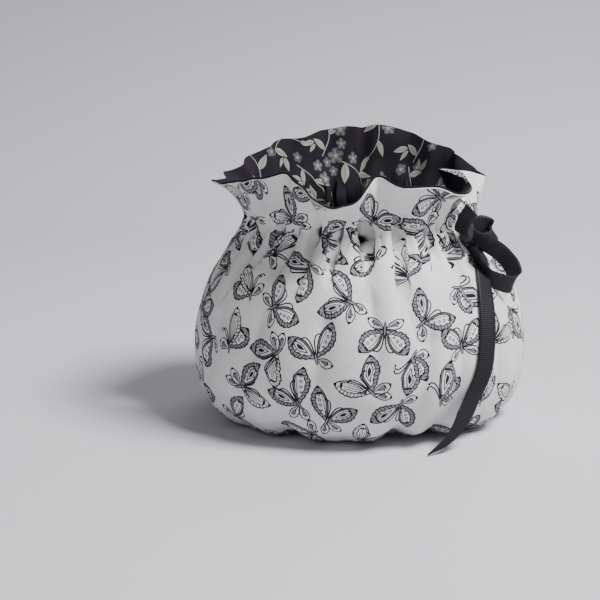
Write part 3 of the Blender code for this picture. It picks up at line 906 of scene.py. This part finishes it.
def triangulated(outline, points, groups):
    """Triangles of the flat panel, cut along its print, with the slot of each."""
    corners = [outline]
    edges = [ring_of(0, len(outline))]
    count = len(outline)
    for group in groups:
        for _, points_round in group:
            corners.append(points_round)
            edges.append(ring_of(count, len(points_round)))
            count += len(points_round)
    corners.append(points)
    verts = [Vector(corner) for corner in np.concatenate(corners).tolist()]
    made = delaunay_2d_cdt(verts, np.concatenate(edges).tolist(), [], 0, 1e-4, False)
    flat = np.array(made[0], dtype=float)
    triangles = np.array(made[2])
    middles = flat[triangles].mean(axis=1)
    inside = ((middles > 0) & (middles < (PANEL_WIDTH, PANEL_HEIGHT))).all(axis=1)
    triangles, middles = triangles[inside], middles[inside]
    used, triangles = np.unique(triangles, return_inverse=True)
    return flat[used], triangles.reshape(-1, 3), slots_of(middles, groups)


def ring_of(start, count):
    """Edges of a closed outline whose points start at the given number."""
    corners = np.arange(start, start + count)
    return np.stack([corners, np.roll(corners, -1)], axis=1)


def slots_of(middles, groups):
    """Slot of each triangle from the last shape that its middle lies in."""
    slots = np.zeros(len(middles), dtype=int)
    for group in groups:
        reach = np.concatenate([corners for _, corners in group])
        low, high = reach.min(axis=0), reach.max(axis=0)
        near = np.nonzero(((middles >= low) & (middles <= high)).all(axis=1))[0]
        for slot, corners in group:
            slots[near[within(middles[near], corners)]] = slot
    return slots


def within(points, corners):
    """Which points lie inside an outline, by how often it winds round them."""
    ahead = np.roll(corners, -1, axis=0)
    x, y = points[:, 0, None], points[:, 1, None]
    upward = (corners[:, 1] <= y) & (ahead[:, 1] > y)
    downward = (corners[:, 1] > y) & (ahead[:, 1] <= y)
    edge = ahead - corners
    side = edge[:, 0] * (y - corners[:, 1]) - (x - corners[:, 0]) * edge[:, 1]
    return (upward & (side > 0)).sum(axis=1) != (downward & (side < 0)).sum(axis=1)


def border_of(flat):
    """Points on the flat panel's outline in order, and the way out of the panel at each."""
    tiny = 1e-3
    w, h = PANEL_WIDTH, PANEL_HEIGHT
    x, y = flat[:, 0], flat[:, 1]
    bottom = [i for i in np.argsort(x) if y[i] < tiny]
    last = [i for i in np.argsort(y) if x[i] > w - tiny and y[i] > tiny]
    top = [i for i in np.argsort(-x) if y[i] > h - tiny and x[i] < w - tiny]
    first = [i for i in np.argsort(-y) if x[i] < tiny and tiny < y[i] < h - tiny]
    order = bottom + last + top + first
    out = np.stack([(x > w - tiny) * 1.0 - (x < tiny), (y > h - tiny) * 1.0 - (y < tiny)], axis=1)
    return np.array(order), unit(out[order])


def cloth_sheet(name, panel, layer, groups):
    """Closed thin sheet of one panel, its print on its first side, rounded all along its edges."""
    depths, gathered = layer["depths"], layer["gathered"]
    facing = 1 if depths[0] < depths[1] else -1
    points = row_points(layer["step"], COARSE_STEP)
    flat, triangles, slots = triangulated(outline_points(), points, groups)
    border, out = border_of(flat)
    back_points = row_points(INNER_STEP, INNER_STEP)
    back_flat, back_triangles, _ = triangulated(flat[border], back_points, [])
    back_border, _ = border_of(back_flat)
    count = len(border)

    across, up, straight = cloth_slopes(panel, flat, gathered)
    front = cloth_point(panel, flat, depths[0], gathered)
    back = cloth_point(panel, back_flat, depths[1], gathered)
    _, _, back_straight = cloth_slopes(panel, back_flat, gathered)
    half = abs(depths[1] - depths[0]) / 2
    middle = (front[border] + back[back_border]) / 2
    edge_out = unit(out[:, :1] * across[border] + out[:, 1:] * up[border])
    edge_straight = unit(front[border] - back[back_border])
    edge_out = unit(edge_out - edge_straight * (edge_out * edge_straight).sum(axis=1, keepdims=True))

    places = [front, back]
    normals = [straight * facing, -back_straight * facing]
    flats = [flat, back_flat]
    rings = [border]
    offset = len(flat) + len(back_flat)
    for i in range(1, EDGE_ROUNDING + 1):
        turn = math.pi * i / (EDGE_ROUNDING + 1)
        way = edge_straight * math.cos(turn) + edge_out * math.sin(turn)
        places.append(middle + way * half)
        normals.append(way)
        flats.append(flat[border])
        rings.append(np.arange(offset, offset + count))
        offset += count
    rings.append(back_border + len(flat))

    faces = [triangles, back_triangles[:, ::-1] + len(flat)]
    face_slots = [slots, np.zeros(len(back_triangles), dtype=int)]
    for near, far in zip(rings[:-1], rings[1:]):
        near_next, far_next = np.roll(near, -1), np.roll(far, -1)
        faces.append(np.stack([near, far, far_next], axis=1))
        faces.append(np.stack([near, far_next, near_next], axis=1))
        face_slots.append(np.zeros(2 * count, dtype=int))
    faces = np.concatenate(faces)[:, ::facing]
    places = np.concatenate(places)
    places[:, 2] = np.maximum(places[:, 2], EDGE_ROOM)

    data = bpy.data.meshes.new(name)
    data.from_pydata((places * MM).tolist(), [], faces.tolist())
    for material in layer["materials"]:
        data.materials.append(material)
    data.polygons.foreach_set("material_index", np.concatenate(face_slots).astype(np.int32))
    cloth_uv(data, faces, np.concatenate(flats), len(triangles), len(back_triangles))
    data.shade_smooth()
    data.normals_split_custom_set_from_vertices(unit(np.concatenate(normals)).tolist())
    return placed(name, data)


def placed(name, data):
    piece = bpy.data.objects.new(name, data)
    bpy.context.scene.collection.objects.link(piece)
    return piece


def cloth_uv(data, faces, flats, front_count, back_count):
    """Flat cloth coordinates for the weave, and a layout with both sides for baking."""
    corners = faces.reshape(-1)
    cloth = flats[corners] * MM
    weave = data.uv_layers.new(name="Cloth")
    weave.data.foreach_set("uv", cloth.astype(np.float32).reshape(-1))
    side = np.zeros(len(faces), dtype=int)
    side[front_count : front_count + back_count] = 1
    side = np.repeat(side, 3)
    size = np.array([PANEL_WIDTH, PANEL_HEIGHT]) * MM
    scale = np.where(side == 0, 1.0, 0.45)[:, None]
    spread = cloth / size[0] * 0.98 * scale + 0.01
    spread[:, 1] += np.where(side == 0, 0.0, 0.67)
    bake = data.uv_layers.new(name="OFBake")
    bake.data.foreach_set("uv", spread.astype(np.float32).reshape(-1))


# Materials: size and strength of the weave, and fineness of the cloth's uneven colour.
WEAVE_PITCH = 0.0005
WEAVE_DEPTH = 0.0001
WEAVE_STRENGTH = 0.35
MOTTLE_SCALE = 90.0


def new_material(name, roughness, sheen=0.0):
    made = bpy.data.materials.new(name)
    made.use_nodes = True
    shader = made.node_tree.nodes["Principled BSDF"]
    shader.inputs["Roughness"].default_value = roughness
    shader.inputs["Specular IOR Level"].default_value = 0.15
    shader.inputs["Sheen Weight"].default_value = sheen
    shader.inputs["Sheen Roughness"].default_value = 0.5
    return made, made.node_tree.nodes, made.node_tree.links, shader


def cloth_place(nodes, links):
    """Flat cloth coordinates, whole and taken apart."""
    place = nodes.new("ShaderNodeUVMap")
    place.uv_map = "Cloth"
    apart = nodes.new("ShaderNodeSeparateXYZ")
    links.new(place.outputs["UV"], apart.inputs["Vector"])
    return place.outputs["UV"], apart.outputs


def waves(nodes, links, run, pitch, operation):
    """Sine or cosine of a run in metres that repeats at the given pitch."""
    scaled = nodes.new("ShaderNodeMath")
    scaled.operation = "MULTIPLY"
    scaled.inputs[1].default_value = 2 * math.pi / pitch
    links.new(run, scaled.inputs[0])
    wave = nodes.new("ShaderNodeMath")
    wave.operation = operation
    links.new(scaled.outputs["Value"], wave.inputs[0])
    return wave.outputs["Value"]


def weave_bump(nodes, links, shader):
    """Plain weave as two crossed sets of threads. Gives back the flat cloth coordinates."""
    place, apart = cloth_place(nodes, links)
    crossed = nodes.new("ShaderNodeMath")
    crossed.operation = "MULTIPLY"
    for i, axis in enumerate(("X", "Y")):
        links.new(waves(nodes, links, apart[axis], WEAVE_PITCH, "SINE"), crossed.inputs[i])
    bump = nodes.new("ShaderNodeBump")
    bump.inputs["Strength"].default_value = WEAVE_STRENGTH
    bump.inputs["Distance"].default_value = WEAVE_DEPTH
    links.new(crossed.outputs["Value"], bump.inputs["Height"])
    links.new(bump.outputs["Normal"], shader.inputs["Normal"])
    return place


def shaded(nodes, links, shader, value, low, high, start, end):
    """Base colour that goes from low to high as a value goes from start to end."""
    ramp = nodes.new("ShaderNodeValToRGB")
    for stop, position, colour in zip(ramp.color_ramp.elements, (start, end), (low, high)):
        stop.position = position
        stop.color = (*colour, 1.0)
    links.new(value, ramp.inputs["Fac"])
    links.new(ramp.outputs["Color"], shader.inputs["Base Color"])


def cotton(name, low, high):
    """Woven cotton, slightly uneven in colour."""
    made, nodes, links, shader = new_material(name, 0.85, 0.02)
    noise = nodes.new("ShaderNodeTexNoise")
    noise.inputs["Scale"].default_value = MOTTLE_SCALE
    noise.inputs["Detail"].default_value = 4.0
    links.new(weave_bump(nodes, links, shader), noise.inputs["Vector"])
    shaded(nodes, links, shader, noise.outputs["Fac"], low, high, 0.35, 0.65)
    return made


def printed(name, colour):
    made, nodes, links, shader = new_material(name, 0.8)
    shader.inputs["Base Color"].default_value = (*colour, 1.0)
    weave_bump(nodes, links, shader)
    return made


cover_materials = (
    cotton("white_cotton", (0.69, 0.685, 0.675), (0.75, 0.745, 0.735)),
    printed("print_ink", (0.012, 0.013, 0.020)),
    printed("print_grey", (0.24, 0.24, 0.26)),
)
lining_materials = (
    cotton("dark_cotton", (0.009, 0.006, 0.011), (0.014, 0.010, 0.017)),
    printed("pale_print", (0.25, 0.26, 0.225)),
    printed("shaded_print", (0.085, 0.085, 0.092)),
)

right_opening, left_opening = SIDE_OPENINGS
PANELS = {
    "front": {"seams": (left_opening, right_opening), "seed": 3},
    "back": {"seams": (right_opening, left_opening), "seed": 8},
}
LAYERS = {
    "cover": {
        "depths": COVER_DEPTHS,
        "gathered": True,
        "draw": butterfly,
        "spacing": 22.8,
        "step": FINE_STEP,
        "materials": cover_materials,
    },
    "lining": {
        "depths": LINING_DEPTHS[::-1],
        "gathered": False,
        "draw": flower_group,
        "spacing": 26.0,
        "step": LINING_STEP,
        "materials": lining_materials,
    },
}


def make_panels():
    for side, panel in PANELS.items():
        for layer_name, layer in LAYERS.items():
            groups = printed_groups(panel, layer["draw"], layer["spacing"], panel["seed"])
            piece = cloth_sheet(f"{layer_name}_{side}_cloth", panel, layer, groups)
            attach(piece, ROOT)
            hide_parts(f"{layer_name}_{side}")


make_panels()

# Ribbon: width, half thickness, height of its middle over the cover, cross ribs, and steps of its
# mesh along and across.
RIBBON_WIDTH = 10.0
RIBBON_HALF = 0.3
RIBBON_LIFT = 1.5
RIB_PITCH = 1.05
RIB_HEIGHT = 0.16
STEPS_PER_RIB = 4
RIBBON_COLUMNS = 6
# Knot: place, half sizes, how square it is, and depth and number of its lengthwise folds.
KNOT_PLACE = (57.7, -46.5, 118.0)
KNOT_SIZE = (3.6, 3.8, 5.8)
KNOT_SQUARENESS = 0.8
KNOT_FOLD_DEPTH = 0.07
KNOT_FOLDS = 9.0
# Loops and ends. A row is the middle of the ribbon, then the direction of its width.
LARGE_LOOP = (
    (58.9, -46.0, 115.3, 0.45, -0.30, 0.84),
    (67.2, -41.0, 111.0, 0.45, -0.25, 0.86),
    (74.8, -37.0, 106.4, 0.45, -0.20, 0.87),
    (81.2, -33.0, 100.5, 0.55, -0.15, 0.82),
    (85.6, -33.0, 94.6, 0.66, -0.10, 0.74),
    (86.8, -37.0, 89.4, 0.50, -0.10, 0.86),
    (84.0, -43.0, 86.9, 0.16, -0.10, 0.98),
    (77.0, -46.5, 89.1, 0.06, -0.20, 0.98),
    (70.6, -48.0, 92.6, 0.20, -0.42, 0.88),
    (65.0, -47.4, 100.5, 0.32, -0.80, 0.45),
    (61.0, -47.4, 110.0, 0.28, -0.85, 0.40),
)
SMALL_LOOP = (
    (58.3, -43.5, 118.7, 0.00, 0.20, 0.98),
    (63.6, -38.5, 120.2, 0.00, 0.15, 0.98),
    (68.9, -35.5, 119.8, -0.08, 0.10, 0.99),
    (72.6, -36.2, 117.6, -0.42, -0.10, 0.90),
    (73.6, -39.0, 115.2, -0.55, -0.35, 0.76),
    (70.6, -42.0, 113.6, -0.35, -0.65, 0.68),
    (65.4, -44.5, 113.8, 0.00, -0.75, 0.60),
    (59.0, -46.5, 115.4, 0.10, -0.50, 0.85),
)
SHORT_END = (
    (58.0, -48.0, 114.5, 0.75, -0.50, -0.42),
    (54.2, -51.0, 118.1, 0.62, -0.70, -0.33),
    (55.8, -51.0, 124.3, 0.62, -0.70, -0.33),
    (60.0, -50.0, 131.2, 0.62, -0.70, -0.33),
)
# Tail: height and azimuth where it lies against the cover and how far it turns off it in degrees,
# then the points where it hangs clear.
TAIL_ON_COVER = (
    (110.0, 57.2, 0.0),
    (101.0, 57.0, 3.0),
    (88.0, 51.6, 10.0),
    (73.0, 47.8, 17.0),
    (58.0, 45.6, 20.0),
    (43.0, 43.6, 20.0),
)
TAIL_HANGING = (
    (60.8, -71.4, 29.5, 0.84, 0.38, -0.38),
    (55.0, -76.0, 18.5, 0.66, 0.25, -0.70),
    (45.5, -82.3, 10.0, 0.50, 0.14, -0.85),
    (33.5, -88.2, 5.4, 0.40, 0.08, -0.91),
)
# Cut ends: slant of the short one and how far it reaches, and length and tip width of the point.
END_SLANT = 1.4
SLANT_REACH = 8
POINT_LENGTH = 29.0
POINT_WIDTH = 0.7
# Distance between both sides of the ribbon in its flat coordinates.
SIDES_APART = 12


def tail_stations():
    """Stations of the long tail: down the cover, then hanging clear with its tip on the floor."""
    heights = PROFILE_VALUES[:, 0]
    rising = np.arange(2, len(heights))
    places = []
    outs = []
    for height, azimuth, turn in TAIL_ON_COVER:
        level = np.array([np.interp(height, heights[rising], PROFILE_KNOTS[rising])])
        out = outward(np.array([azimuth]), level)
        lift = RIBBON_LIFT + RIBBON_WIDTH / 2 * math.sin(math.radians(turn))
        places.append((outer_point(np.array([azimuth]), level) + lift * out)[0])
        outs.append(out[0])
    rows = [KNOT_PLACE + (0.85, 0.50, 0.10)]
    downs = np.gradient(np.array(places), axis=0)
    for place, out, down, (_, _, turn) in zip(places, outs, downs, TAIL_ON_COVER):
        across = unit(np.cross(out, down))
        if across[0] < 0:
            across = -across
        across = across * math.cos(math.radians(turn)) + out * math.sin(math.radians(turn))
        rows.append(tuple(place) + tuple(across))
    return rows + list(TAIL_HANGING)


def route(stations):
    """Middles and width directions at even small steps along a smooth run of stations."""
    rows = np.array(stations)
    gaps = np.linalg.norm(np.diff(rows[:, :3], axis=0), axis=1)
    knots = np.concatenate([[0], np.cumsum(gaps)])
    steps = int(knots[-1] / RIB_PITCH * STEPS_PER_RIB)
    at = np.linspace(0, knots[-1], steps + 1)
    smooth = hermite(at, knots, rows, slopes_of(knots, rows))
    middles = smooth[:, :3]
    along = unit(np.gradient(middles, at, axis=0))
    across = smooth[:, 3:] - along * (smooth[:, 3:] * along).sum(axis=1, keepdims=True)
    return at, middles, along, unit(across)


def ribbon_strip(name, stations, slant, point_length, material):
    """Ribbed ribbon along its stations, its far end cut on a slant or to a point."""
    at, middles, along, across = route(stations)
    facing = np.cross(along, across)
    run = at[-1]
    rib = RIB_HEIGHT * np.cos(2 * math.pi * at / RIB_PITCH)
    half = RIBBON_WIDTH / 2
    first = np.full(len(at), -half)
    if point_length:
        narrowed = np.clip((at - run + point_length) / point_length, 0, 1)
        first += narrowed * (RIBBON_WIDTH - POINT_WIDTH)
    last = np.full(len(at), half)
    section = [(share, 1) for share in np.linspace(0, 1, RIBBON_COLUMNS + 1)]
    section += [(share, -1) for share in np.linspace(1, 0, RIBBON_COLUMNS + 1)]
    slanted = slant * np.clip((at - run + SLANT_REACH) / SLANT_REACH, 0, 1)
    points = []
    uvs = []
    for share, side in section:
        edge = abs(2 * share - 1) ** 6
        offset = first + (last - first) * share
        lift = side * (RIBBON_HALF * (1 - 0.35 * edge) + rib * (1 - edge) * 0.5)
        place = middles + across * offset[:, None] + facing * lift[:, None]
        place = place + along * (slanted * (2 * share - 1))[:, None]
        points.append(place)
        uvs.append(np.stack([at, offset + side * SIDES_APART + SIDES_APART], axis=1))
    points = np.stack(points, axis=1)
    uvs = np.stack(uvs, axis=1) * MM
    rows, columns = points.shape[:2]
    index = np.arange(rows * columns).reshape(rows, columns)
    faces = []
    for column in range(columns):
        near, far = index[:, column], index[:, (column + 1) % columns]
        faces.append(np.stack([near[:-1], near[1:], far[1:], far[:-1]], axis=1))
    faces = [tuple(face) for face in np.concatenate(faces).tolist()]
    for end, order in ((0, 1), (rows - 1, -1)):
        ring = index[end]
        for i in range(RIBBON_COLUMNS):
            quad = (ring[i], ring[i + 1], ring[columns - 2 - i], ring[columns - 1 - i])
            faces.append(tuple(int(corner) for corner in quad[::order]))
    data = bpy.data.meshes.new(name)
    data.from_pydata((points.reshape(-1, 3) * MM).tolist(), [], faces)
    flat = uvs.reshape(-1, 2)[np.array([loop.vertex_index for loop in data.loops])]
    data.uv_layers.new(name="Cloth").data.foreach_set("uv", flat.astype(np.float32).reshape(-1))
    bake = flat / max(run * MM, 0.04) * 0.98 + 0.01
    data.uv_layers.new(name="OFBake").data.foreach_set("uv", bake.astype(np.float32).reshape(-1))
    data.materials.append(material)
    data.shade_smooth()
    piece = placed(name, data)
    settle_normals(piece)
    return piece, run


def settle_normals(piece):
    """Turn the faces of a closed piece outward."""
    shape = bmesh.new()
    shape.from_mesh(piece.data)
    bmesh.ops.recalc_face_normals(shape, faces=shape.faces[:])
    shape.to_mesh(piece.data)
    shape.free()


def knot(material):
    """Band of ribbon drawn tight round the bow, with lengthwise folds."""
    turn = math.atan2(KNOT_PLACE[0], -KNOT_PLACE[1])
    round_it = np.array([math.cos(turn), math.sin(turn), 0.0])
    out = np.array([math.sin(turn), -math.cos(turn), 0.0])
    shape = bmesh.new()
    bmesh.ops.create_uvsphere(shape, u_segments=56, v_segments=32, radius=1.0)
    for vert in shape.verts:
        co = np.array(vert.co)
        around = math.atan2(co[2], co[1])
        crease = math.cos(KNOT_FOLDS * co[0] + 0.8 * math.sin(around))
        fold = 1 + KNOT_FOLD_DEPTH * crease * (1 - co[0] ** 2)
        square = np.sign(co) * np.abs(co) ** KNOT_SQUARENESS
        point = np.array(KNOT_PLACE) + round_it * square[0] * KNOT_SIZE[0]
        point = point + out * square[1] * KNOT_SIZE[1] * fold
        point[2] += square[2] * KNOT_SIZE[2] * fold
        vert.co = point * MM
    data = bpy.data.meshes.new("ribbon_knot")
    shape.to_mesh(data)
    shape.free()
    data.materials.append(material)
    data.shade_smooth()
    return placed("ribbon_knot", data)


def ribbon_material():
    """Black ribbed ribbon whose rib crests are painted a little lighter, a painted highlight."""
    made, nodes, links, shader = new_material("ribbed_ribbon", 0.5)
    _, apart = cloth_place(nodes, links)
    painted_rib_highlight = waves(nodes, links, apart["X"], RIB_PITCH * MM, "COSINE")
    # Painted highlight: the colour turns lighter along each rib's crest, standing in for light caught
    # there.
    shaded(nodes, links, shader, painted_rib_highlight, (0.006, 0.005, 0.008), (0.036, 0.034, 0.038), 0.0, 0.9)
    return made


def make_ribbon():
    material = ribbon_material()
    strips = (
        ("ribbon_large_loop", LARGE_LOOP, 0.0, 0.0),
        ("ribbon_small_loop", SMALL_LOOP, 0.0, 0.0),
        ("ribbon_short_end", SHORT_END, -END_SLANT, 0.0),
        ("ribbon_long_tail", tail_stations(), 0.0, POINT_LENGTH),
    )
    pieces = [knot(material)]
    for name, stations, slant, point_length in strips:
        piece, run = ribbon_strip(name, stations, slant, point_length, material)
        pieces.append(piece)
    for piece in pieces:
        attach(piece, ROOT)
    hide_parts("ribbon_tie")


make_ribbon()

# Floor, lights and camera: where the floor ends, the curve up from it, its paint, the wall's paint
# darkened as painted shade, and the height where the wall's darker colour begins.
FLOOR_DEPTH = 0.55
CURVE = 0.6
FLOOR_PAINT = (0.57, 0.555, 0.59)
WALL_PAINTED_SHADE = (0.40, 0.385, 0.42)
PAINTED_SHADE_HEIGHT = 0.22


def backdrop():
    """Floor that curves up into a wall, in one sheet, the wall painted darker than the floor as painted
    shade.
    """
    turns = np.linspace(0, math.pi / 2, 25)
    profile = [(-4.0, 0.0), (FLOOR_DEPTH, 0.0)]
    profile += [(FLOOR_DEPTH + CURVE * math.sin(t), CURVE * (1 - math.cos(t))) for t in turns[1:]]
    profile.append((FLOOR_DEPTH + CURVE, 4.0))
    verts = [(side, y, z) for y, z in profile for side in (-5.0, 5.0)]
    faces = [(2 * i, 2 * i + 1, 2 * i + 3, 2 * i + 2) for i in range(len(profile) - 1)]
    data = bpy.data.meshes.new("backdrop")
    data.from_pydata(verts, [], faces)
    data.shade_smooth()
    made, nodes, links, shader = new_material("backdrop_paint_and_painted_shade", 0.8)
    place = nodes.new("ShaderNodeTexCoord")
    apart = nodes.new("ShaderNodeSeparateXYZ")
    links.new(place.outputs["Object"], apart.inputs["Vector"])
    # The wall's colour is the floor's darkened as painted shade, blended in over the lowest part of the
    # curve.
    shaded(nodes, links, shader, apart.outputs["Z"], FLOOR_PAINT, WALL_PAINTED_SHADE, 0.0, PAINTED_SHADE_HEIGHT)
    data.materials.append(made)
    placed("backdrop", data)


def area_light(name, place, aim, size, power):
    data = bpy.data.lights.new(name, "AREA")
    data.shape = "DISK"
    data.size = size
    data.energy = power
    lamp = bpy.data.objects.new(name, data)
    lamp.location = place
    lamp.rotation_euler = (Vector(aim) - Vector(place)).to_track_quat("-Z", "Y").to_euler()
    bpy.context.scene.collection.objects.link(lamp)


def camera():
    data = bpy.data.cameras.new("camera")
    data.lens = CAMERA_LENS
    data.sensor_width = 36.0
    data.clip_end = 50.0
    made = bpy.data.objects.new("camera", data)
    tilt = math.radians(CAMERA_ELEVATION)
    away = Vector((0.0, -math.cos(tilt), math.sin(tilt))) * CAMERA_DISTANCE
    made.location = Vector(CAMERA_AIM) + away
    made.rotation_euler = (-away).to_track_quat("-Z", "Y").to_euler()
    bpy.context.scene.collection.objects.link(made)
    bpy.context.scene.camera = made


backdrop()
area_light("key", (0.78, -0.42, 1.40), (0.0, 0.0, 0.07), 0.60, 56.0)
area_light("fill", (-0.7, -1.2, 0.9), (0.0, 0.0, 0.06), 0.9, 3.0)
area_light("back", (0.3, 0.8, 1.3), (0.0, 0.3, 0.1), 0.8, 4.0)
world = bpy.data.worlds.new("studio")
world.use_nodes = True
world.node_tree.nodes["Background"].inputs["Color"].default_value = (0.80, 0.80, 0.84, 1.0)
world.node_tree.nodes["Background"].inputs["Strength"].default_value = 0.19
bpy.context.scene.world = world
camera()
